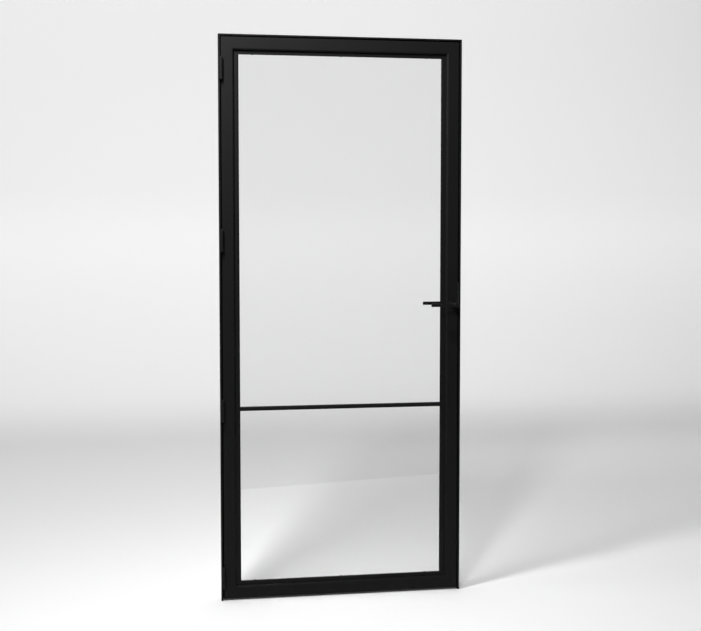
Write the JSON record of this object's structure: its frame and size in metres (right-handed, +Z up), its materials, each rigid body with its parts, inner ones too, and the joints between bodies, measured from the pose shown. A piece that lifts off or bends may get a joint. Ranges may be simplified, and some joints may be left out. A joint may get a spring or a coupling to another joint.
{
  "type": "steel interior door",
  "caption": "Single-leaf glazed steel interior door in a slim folded frame, with a thin glazing bar, barrel hinges and a lever handle that works a magnetic latch.",
  "frame": {"origin": "on the floor, midway across the frame and midway through the leaf's thickness", "axes": "+Z up, +X from the hinges to the lock, +Y away from the side that the leaf opens to"},
  "size_m": [0.88, 0.15, 2.015],
  "materials": {
    "black_coated_steel": "satin",
    "black_handle": "satin",
    "black_rubber": "matte",
    "bright_steel": "brushed",
    "black_nylon": "matte",
    "clear_glass": "polished",
    "dark_magnet": "matte"
  },
  "bodies": {
    "frame": {"hinge_jamb": "black_coated_steel", "lock_jamb": "black_coated_steel", "frame_head": "black_coated_steel", "hinge_side_stop": "black_coated_steel", "lock_side_stop": "black_coated_steel", "head_stop": "black_coated_steel", "hinge_side_seal": "black_rubber", "lock_side_seal": "black_rubber", "head_seal": "black_rubber", "strike_plate": "bright_steel", "strike_magnet": "dark_magnet", "strike_screws": "bright_steel", "bottom_hinge_frame_knuckle": "black_coated_steel", "lower_hinge_frame_knuckle": "black_coated_steel", "upper_hinge_frame_knuckle": "black_coated_steel", "top_hinge_frame_knuckle": "black_coated_steel", "bottom_hinge_pin": "bright_steel", "lower_hinge_pin": "bright_steel", "upper_hinge_pin": "bright_steel", "top_hinge_pin": "bright_steel", "bottom_hinge_washer": "black_nylon", "lower_hinge_washer": "black_nylon", "upper_hinge_washer": "black_nylon", "top_hinge_washer": "black_nylon"},
    "leaf": {"bottom_hinge_leaf_knuckle": "black_coated_steel", "lower_hinge_leaf_knuckle": "black_coated_steel", "upper_hinge_leaf_knuckle": "black_coated_steel", "top_hinge_leaf_knuckle": "black_coated_steel", "hinge_stile": "black_coated_steel", "lock_stile": "black_coated_steel", "top_rail": "black_coated_steel", "bottom_rail": "black_coated_steel", "front_bead_hinge_side": "black_coated_steel", "front_bead_lock_side": "black_coated_steel", "front_bead_top": "black_coated_steel", "front_bead_bottom": "black_coated_steel", "rear_bead_hinge_side": "black_coated_steel", "rear_bead_lock_side": "black_coated_steel", "rear_bead_top": "black_coated_steel", "rear_bead_bottom": "black_coated_steel", "bead_screws": "black_coated_steel", "glass_pane": "clear_glass", "front_gasket": "black_rubber", "rear_gasket": "black_rubber", "setting_blocks": "black_rubber", "front_glazing_bar": "black_coated_steel", "front_bar_tape": "black_rubber", "rear_glazing_bar": "black_coated_steel", "rear_bar_tape": "black_rubber", "lock_case": "bright_steel", "lock_forend": "bright_steel", "forend_screws": "bright_steel", "front_rosette": "black_handle", "rear_rosette": "black_handle"},
    "handle": {"front_lever": "black_handle", "rear_lever": "black_handle", "lever_spindle": "bright_steel", "grub_screws": "bright_steel", "lock_follower": "bright_steel"},
    "latch": {"latch_bolt": "bright_steel"}
  },
  "joints": [
    {"name": "leaf_swing", "type": "hinge", "parent": "frame", "child": "leaf", "pos_m": [-0.431, -0.02555, 0.99], "axis": [0, 0, -1], "range_deg": [0, 170]},
    {"name": "lever_turn", "type": "hinge", "parent": "leaf", "child": "handle", "pos_m": [0.409, 0, 1.0585], "axis": [0, -1, 0], "range_deg": [0, 40], "stiffness_Nm_per_rad": 1.5, "springref_deg": -28.65},
    {"name": "latch_throw", "type": "slide", "parent": "leaf", "child": "latch", "axis": [1, 0, 0], "range_m": [0, 0.007], "stiffness_N_per_m": 60, "springref_m": -0.005}
  ]
}
